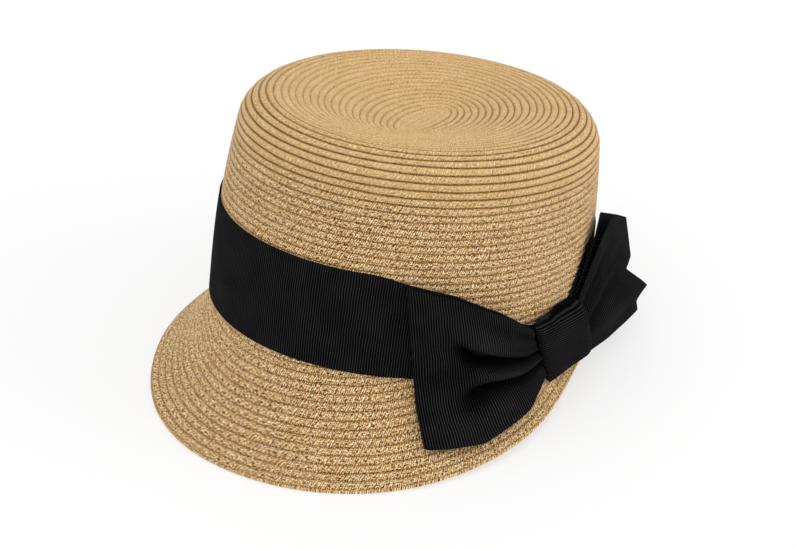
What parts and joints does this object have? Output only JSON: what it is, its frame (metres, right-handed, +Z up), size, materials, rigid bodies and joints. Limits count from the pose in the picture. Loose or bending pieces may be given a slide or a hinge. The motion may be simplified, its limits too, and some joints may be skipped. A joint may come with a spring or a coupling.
{
  "type": "braided straw hat",
  "caption": "Braided straw hat with a flat-topped crown, a long sloping front brim, a short back brim, and a black ribbon band with a wide bow on the wearer's left.",
  "frame": {"origin": "centre of the hat's footprint, on the surface that its rim rests on", "axes": "+Z up, the front of the hat towards -Y, the wearer's left, where the bow is, towards +X"},
  "size_m": [0.2054, 0.25, 0.1399],
  "materials": {
    "straw": "woven matte",
    "ribbon": "ribbed matte"
  },
  "bodies": {
    "root": {"straw_body": "straw", "hat_band": "ribbon", "bow_loop_front": "ribbon", "bow_loop_back": "ribbon", "bow_knot": "ribbon"}
  },
  "joints": []
}
